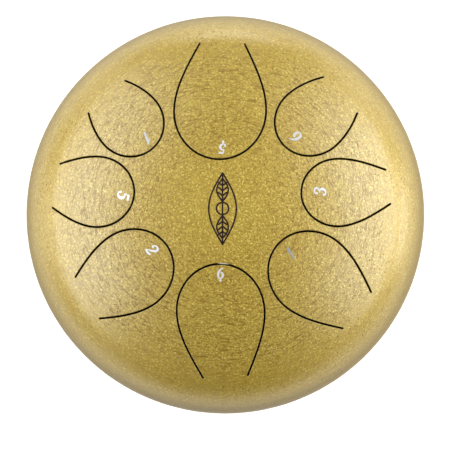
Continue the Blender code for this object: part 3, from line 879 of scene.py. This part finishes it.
def build_foil(name, strokes, place, foil):
    """A thin transfer on the dome. place turns its own flat points into plan points."""
    points, triangles = unite([patch for stroke in strokes for patch in stroke_patches(stroke)])
    plan = [place(p) for p in points]
    pairs = dict.fromkeys(pair for a, b, c in triangles for pair in ((a, b), (b, c), (c, a)))
    borders = [pair for pair in pairs if pair[::-1] not in pairs]
    out = {}
    for a, b in borders:
        run = (plan[b] - plan[a]).normalized()
        for end in (a, b):
            out[end] = out.get(end, Vector((0, 0))) + Vector((run.y, -run.x))
    turn = 1 if wound_left([plan[i] for i in triangles[0]]) else -1
    sheet = dome_sheet()
    vertices = []
    for depth in (-FOIL, FOIL_SINK):
        for index, p in enumerate(plan):
            side = out[index].normalized() * turn if index in out else Vector((0, 0))
            if depth > 0:
                p = p + side * FOIL_SKIRT
            position, normal = place_on(sheet, *flatten_on_crown(p.x, p.y), depth)
            slanted = (normal * FOIL_SLANT + Vector((side.x, side.y, 0))).normalized()
            vertices.append((position, normal if depth < 0 else -normal, slanted))
    count = len(plan)
    faces = [(corners, "skin") for corners in triangles]
    faces += [((b, a, a + count, b + count), "edge") for a, b in borders]
    faces += [((c + count, b + count, a + count), "under") for a, b, c in triangles]
    return add_sheet_mesh(name, vertices, faces, foil, foil)


def make_numeral(note, foil):
    """A numeral whose top points at its tongue's tip."""
    tongue = TONGUES[note]
    low = note.startswith("low")
    unit = (LOW_NUMERAL_HEIGHT if low else NUMERAL_HEIGHT) / 100
    pen = PEN_STROKES[note[-1]] + ([OCTAVE_DOT] if low else [])
    across, up, _ = zip(*(point for stroke in pen for point in stroke))
    middle_x = (min(across) + max(across)) / 2
    middle_y = (min(up) + max(up)) / 2
    weight = unit * PEN_WEIGHTS.get(note[-1], PEN_SPREAD)
    strokes = [[(x * unit, y * unit, width * weight) for x, y, width in smooth_stroke(stroke)]
               for stroke in pen]
    tip, along, aside = tongue_axes(note)

    def place(p):
        down = tongue.numeral_along * MM - (p.y - middle_y * unit)
        left = tongue.numeral_aside * MM + p.x - middle_x * unit
        return tip + along * down + aside * left

    numeral = build_foil(f"foil_numeral_{note}", strokes, place, foil)
    finish_piece(numeral, f"tongue_{note}_body", f"numeral_{note}")


def bowed_line(start, end, bow, steps):
    """A stroke of the badge's line width along an arc that bows sideways from its chord."""
    chord_line = Vector((end[0] - start[0], end[1] - start[1]))
    side = Vector((chord_line.y, -chord_line.x)).normalized()
    points = []
    for i in range(steps + 1):
        t = i / steps
        x, y = Vector(start) + chord_line * t + side * bow * math.sin(math.pi * t)
        points.append((x, y, BADGE_LINE))
    return points


def half_ring(side, radius):
    angles = [math.pi * (i / BADGE_STEPS - 0.5) for i in range(BADGE_STEPS + 1)]
    return [(side * radius * math.cos(a), radius * math.sin(a), BADGE_LINE) for a in angles]


def make_badge(foil):
    """A leaf ornament: a tall pointed-oval frame, a stem, two inner leaves with veins, a ring."""
    high = BADGE_HALF_HEIGHT
    wide = BADGE_HALF_WIDTH
    strokes = [bowed_line((0, -high), (0, high), 0, BADGE_STEPS // 2)]
    for side in (-1, 1):
        strokes.append(bowed_line((0, -high), (0, high), side * wide, 2 * BADGE_STEPS))
        for way in (-high, high):
            leaf_start, leaf_end = ((0, way * share) for share in BADGE_LEAF)
            bow = side * BADGE_LEAF_WIDTH * wide
            strokes.append(bowed_line(leaf_start, leaf_end, bow, BADGE_STEPS))
            for share in BADGE_VEINS:
                vein_end = (side * BADGE_VEIN_REACH * wide, way * (share + BADGE_VEIN_RISE))
                strokes.append(bowed_line((0, way * share), vein_end, 0, 2))
        strokes.append(half_ring(side, BADGE_RING * high))
    badge = build_foil("foil_badge", strokes, lambda p: p.to_2d(), foil)
    finish_piece(badge, "drum_body", "centre_badge")


# ---- turned pieces ----
def soften(profile):
    """Round a closed (radius, height, fillet) profile's corners."""
    points = []
    for i, (r, z, fillet) in enumerate(profile):
        corner = Vector((r, z))
        if fillet == 0:
            points.append(corner)
            continue
        before = (Vector(profile[i - 1][:2]) - corner).normalized()
        after = (Vector(profile[(i + 1) % len(profile)][:2]) - corner).normalized()
        half = before.angle(after) / 2
        middle = corner + (before + after).normalized() * fillet / math.sin(half)
        start = corner + before * fillet / math.tan(half) - middle
        end = corner + after * fillet / math.tan(half) - middle
        for step in range(FILLET_STEPS + 1):
            points.append(middle + start.slerp(end, step / FILLET_STEPS) * fillet)
    return points


def mesh_from(bm, name):
    bmesh.ops.recalc_face_normals(bm, faces=bm.faces)
    mesh = bpy.data.meshes.new(name)
    bm.to_mesh(mesh)
    bm.free()
    return mesh


def lathe(name, profile, segments, material, shape=None):
    """Turn a closed (radius, height) profile about Z. shape may move each point."""
    bm = bmesh.new()
    rings = []
    for r, z in profile:
        ring = []
        for i in range(segments if r > 0 else 1):
            angle = 2 * math.pi * i / segments
            point = Vector((r * math.cos(angle), r * math.sin(angle), z))
            ring.append(bm.verts.new(shape(point) if shape else point))
        rings.append(ring * segments if r == 0 else ring)
    for first, second in zip(rings, rings[1:] + rings[:1]):
        for i in range(segments):
            corners = list(dict.fromkeys((first[i - 1], first[i], second[i], second[i - 1])))
            if len(corners) > 2:
                bm.faces.new(corners)
    mesh = mesh_from(bm, name)
    mesh.shade_smooth()
    mesh.set_sharp_from_angle(angle=SHARP_ANGLE)
    mesh.materials.append(material)
    return put_in_scene(name, mesh)


def finish_piece(piece, body, node):
    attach(piece, body)
    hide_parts(node)


def make_bead(paint):
    """The ground-down weld between the rims, painted over, with a trace of its ripple left."""
    half_height = (DOME_Z - PAN_RIM_Z) / 2 + BEAD_OVERLAP
    middle_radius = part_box("seam_weld_bead")[1].x - BEAD_HALF_WIDTH
    profile = []
    for i in range(BEAD_POINTS):
        angle = 2 * math.pi * i / BEAD_POINTS
        profile.append((middle_radius + BEAD_HALF_WIDTH * math.cos(angle),
                        SEAM_Z + half_height * math.sin(angle)))

    def ripple(point):
        angle = math.atan2(point.y, point.x)
        swell = sum(rise * math.sin(waves * angle + phase) for waves, rise, phase in BEAD_WAVES)
        return point * (1 - BEAD_DIP * (1 + swell))

    bead = lathe("painted_weld_bead", profile, BEAD_SEGMENTS, paint, ripple)
    finish_piece(bead, "drum_body", "seam_weld_bead")


# ---- feet and fasteners ----
def foot_place(number):
    low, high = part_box(f"rubber_foot_{number}")
    middle = (low + high) / 2
    return Vector((middle.x, middle.y, 0))


def measure(node):
    """The height of a turned part's bottom and of its top, and its radius."""
    low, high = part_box(node)
    return low.z, high.z, (high.x - low.x) / 2


def put_on_foot(piece, number, node):
    """Move a piece turned about the origin to its foot, in its mesh, and finish it."""
    piece.data.transform(Matrix.Translation(foot_place(number)))
    finish_piece(piece, "drum_body", node)


def make_foot(number, rubber):
    """A moulded foot: a waist groove, a ribbed tread, and the screw's recess."""
    node = f"rubber_foot_{number}"
    _, top, outer = measure(node)
    profile = [(FOOT_RECESS_RADIUS, 0, 0.4 * MM)]
    for groove in (TREAD_GROOVE, TREAD_GROOVE + TREAD_PITCH):
        for across, up in ((-0.3, 0), (-0.2, TREAD_DEPTH), (0.2, TREAD_DEPTH), (0.3, 0)):
            profile.append((groove + across * MM, up, 0.1 * MM))
    profile += [(outer - TREAD_INSET, 0, 0.9 * MM), (outer - 0.75 * MM, 0.62 * top, 0.2 * MM),
                (outer - 1.3 * MM, 0.68 * top, 0.3 * MM), (outer - 0.55 * MM, 0.75 * top, 0.2 * MM),
                (outer, top, 0.5 * MM), (SCREW_HOLE_RADIUS, top, 0),
                (SCREW_HOLE_RADIUS, FOOT_RECESS_HEIGHT, 0),
                (FOOT_RECESS_RADIUS, FOOT_RECESS_HEIGHT, 0.5 * MM)]
    foot = lathe(f"moulded_foot_{number}", soften(profile), SEGMENTS, rubber)
    put_on_foot(foot, number, node)


def make_washer(number, node, name, zinc):
    node = f"{node}_{number}"
    bottom, top, outer = measure(node)
    profile = [(SCREW_HOLE_RADIUS, bottom, 0.1 * MM), (outer, bottom, 0.3 * MM),
               (outer, top, 0.12 * MM), (SCREW_HOLE_RADIUS, top, 0.1 * MM)]
    washer = lathe(f"{name}_{number}", soften(profile), SEGMENTS, zinc)
    put_on_foot(washer, number, node)


def make_screw(number, zinc):
    """A pan-head screw, head down, with a cross recess and a rolled thread."""
    node = f"foot_screw_{number}"
    bottom, tip, head = measure(node)
    head_top = bottom + HEAD_HEIGHT
    profile = []
    for i in range(FACE_STEPS + 1):
        share = i / FACE_STEPS
        profile.append((0.94 * head * share, bottom + HEAD_DOME * share ** 4))
    profile += [(0.985 * head, bottom + 1.25 * MM), (head, bottom + 1.6 * MM),
                (head, head_top - 0.1 * MM), (head - 0.1 * MM, head_top), (SHANK_RADIUS, head_top)]
    threaded = tip - SCREW_TIP - head_top
    for i in range(1, THREAD_ROWS):
        profile.append((SHANK_RADIUS, head_top + threaded * i / THREAD_ROWS))
    profile += [(SHANK_RADIUS - SCREW_TIP, tip), (0, tip)]

    def shape(point):
        radius = math.hypot(point.x, point.y)
        angle = math.atan2(point.y, point.x)
        if point.z < bottom + 1.1 * MM and radius < 0.9 * head:
            arm, reach = sorted((abs(point.x), abs(point.y)))
            inside = min(1.0, max(0.0, (CROSS_HALF_WIDTH - arm) / (0.18 * MM)))
            inside *= min(1.0, max(0.0, (CROSS_REACH - reach) / (0.5 * MM)))
            return point + Vector((0, 0, CROSS_DEPTH * inside))
        if point.z > head_top + 0.3 * MM and radius > 0.9 * SHANK_RADIUS:
            turn = ((point.z - head_top) / THREAD_PITCH - angle / (2 * math.pi)) % 1
            groove = THREAD_DEPTH * abs(2 * turn - 1)
            return Vector((point.x, point.y, 0)) * (1 - groove / radius) + Vector((0, 0, point.z))
        return point

    screw = lathe(f"pan_head_screw_{number}", profile, SEGMENTS, zinc, shape)
    put_on_foot(screw, number, node)


def make_nut(number, zinc, nylon):
    """A hexagon lock nut with chamfered corners and a nylon ring turned in at its top."""
    node = f"lock_nut_{number}"
    bottom, top, corner = measure(node)
    flat = corner * math.cos(math.pi / 6)
    collar = top - NUT_COLLAR
    nylon_top = top - NYLON_SINK
    profile = [(NUT_BORE_RADIUS + 0.3 * MM, bottom), (flat, bottom), (corner, bottom + NUT_CHAMFER),
               (corner, collar - 0.3 * MM), (flat, collar + 0.2 * MM),
               (0.93 * flat, collar + 0.3 * MM), (0.93 * flat, top - 0.3 * MM),
               (0.86 * flat, top), (0.74 * flat, top), (0.70 * flat, nylon_top),
               (NUT_BORE_RADIUS, nylon_top), (NUT_BORE_RADIUS, bottom + 0.3 * MM)]

    def shape(point):
        angle = math.atan2(point.y, point.x) % (math.pi / 3) - math.pi / 6
        keep = min(1.0, flat / math.cos(angle) / math.hypot(point.x, point.y))
        return Vector((point.x * keep, point.y * keep, point.z))

    nut = lathe(f"nylon_lock_nut_{number}", profile, NUT_SEGMENTS, zinc, shape)
    nut.data.materials.append(nylon)
    for polygon in nut.data.polygons:
        middle = polygon.center
        if middle.z > nylon_top - 0.01 * MM and middle.to_2d().length < 0.71 * flat:
            polygon.material_index = 1
    put_on_foot(nut, number, node)


# ---- stage ----
CAMERA_DISTANCE = 1.5
CAMERA_RIGHT = math.radians(1.5)  # the camera stands this far to the right of the axis
CAMERA_FRONT = math.radians(3.45)  # and this far to the front
CAMERA_LENS = 187.5
CAMERA_AIM_DROP = 6.98 * MM  # it aims a little in front of the drum's middle
FILL_LIGHT = (1.0, 1.0, 0.85)
FILL_STRENGTH = 0.08
SOFTBOX_COLOUR = (0.98, 1.0, 0.97)
SOFTBOX_DISTANCE = 1.4
FLOOR_RADII = (0.2, 0.5, 1.0, 2.0, 4.0)
FLOOR_SEGMENTS = 96


def add_camera():
    """Almost straight above the drum, with +Y up in the picture."""
    camera = put_in_scene("camera", bpy.data.cameras.new("camera"))
    camera.data.lens = CAMERA_LENS
    camera.data.sensor_width = 36.0
    camera.data.dof.use_dof = False
    across, back = math.sin(CAMERA_RIGHT), -math.sin(CAMERA_FRONT)
    out = Vector((across, back, math.sqrt(1 - across ** 2 - back ** 2)))
    middle = Vector((0, 0, SEAM_Z))
    right = Vector((0, 1, 0)).cross(out).normalized()
    up = out.cross(right)
    camera.location = middle + out * CAMERA_DISTANCE
    gaze = (camera.location - (middle - up * CAMERA_AIM_DROP)).normalized()
    right = Vector((0, 1, 0)).cross(gaze).normalized()
    turn = Matrix((right, gaze.cross(right), gaze)).transposed()
    camera.rotation_euler = turn.to_euler()
    camera.data.clip_end = 100.0
    bpy.context.scene.camera = camera


def add_floor():
    """A wide disc of seamless backdrop."""
    bm = bmesh.new()
    rings = [[bm.verts.new((0, 0, 0))] * FLOOR_SEGMENTS]
    turns = [2 * math.pi * i / FLOOR_SEGMENTS for i in range(FLOOR_SEGMENTS)]
    for radius in FLOOR_RADII:
        rings.append([bm.verts.new((radius * math.cos(a), radius * math.sin(a), 0)) for a in turns])
    for inner, outer in zip(rings, rings[1:]):
        for i in range(FLOOR_SEGMENTS):
            bm.faces.new(list(dict.fromkeys((inner[i - 1], outer[i - 1], outer[i], inner[i]))))
    mesh = mesh_from(bm, "studio_floor")
    mesh.materials.append(make_floor_material())
    floor = put_in_scene("studio_floor", mesh)


def set_world():
    world = bpy.data.worlds.new("studio")
    world.use_nodes = True
    background = world.node_tree.nodes["Background"]
    background.inputs["Color"].default_value = (*FILL_LIGHT, 1.0)
    background.inputs["Strength"].default_value = FILL_STRENGTH
    bpy.context.scene.world = world


def add_bank(name, elevation, width, height, panels):
    """A row of softboxes that face the drum. panels gives each one's azimuth and watts.

    Angles are in degrees, and azimuth 0 is at +X and 90 at +Y.
    """
    e = math.radians(elevation)
    for azimuth, watts in panels.items():
        a = math.radians(azimuth)
        out = Vector((math.cos(a) * math.cos(e), math.sin(a) * math.cos(e), math.sin(e)))
        lamp = bpy.data.lights.new(f"{name}_{azimuth % 360}", "AREA")
        lamp.shape = "RECTANGLE"
        lamp.size = width
        lamp.size_y = height
        lamp.energy = watts
        lamp.color = SOFTBOX_COLOUR
        light = put_in_scene(lamp.name, lamp)
        light.location = Vector((0, 0, DOME_Z)) + out * SOFTBOX_DISTANCE
        light.rotation_euler = out.to_track_quat("Z", "Y").to_euler()


def add_lights():
    add_bank("right_softbox", 39, 0.5, 0.66, {-25: 4.0, 0: 4.5, 25: 5.3, 50: 1.7})
    add_bank("left_softbox", 40, 0.5, 0.66, {90: 0.2, 130: 2.7, 155: 3.9, 180: 4.4, 205: 4.4})
    add_bank("low_strip", 10, 0.7, 0.35,
             {0: 4.6, 45: 1.8, 90: 3.2, 135: 1.4, 180: 2.0, 225: 0.5, 315: 0.5})


def main():
    bpy.context.scene.view_settings.view_transform = "Standard"
    paint = make_crackle_paint()
    steel = make_bare_steel()
    rubber = make_rubber()
    zinc = make_zinc()
    nylon = make_nylon()

    make_top(paint, steel)
    make_pan(paint, steel)
    make_bead(paint)
    for note in TONGUES:
        make_tongue(note, paint, steel)
        make_numeral(note, make_nickel_foil(note))
    make_badge(make_black_foil())
    for number in FOOT_NUMBERS:
        make_foot(number, rubber)
        make_washer(number, "cup_washer", "pressed_cup_washer", zinc)
        make_washer(number, "flat_washer", "punched_flat_washer", zinc)
        make_screw(number, zinc)
        make_nut(number, zinc, nylon)

    add_floor()
    set_world()
    add_lights()
    add_camera()


main()
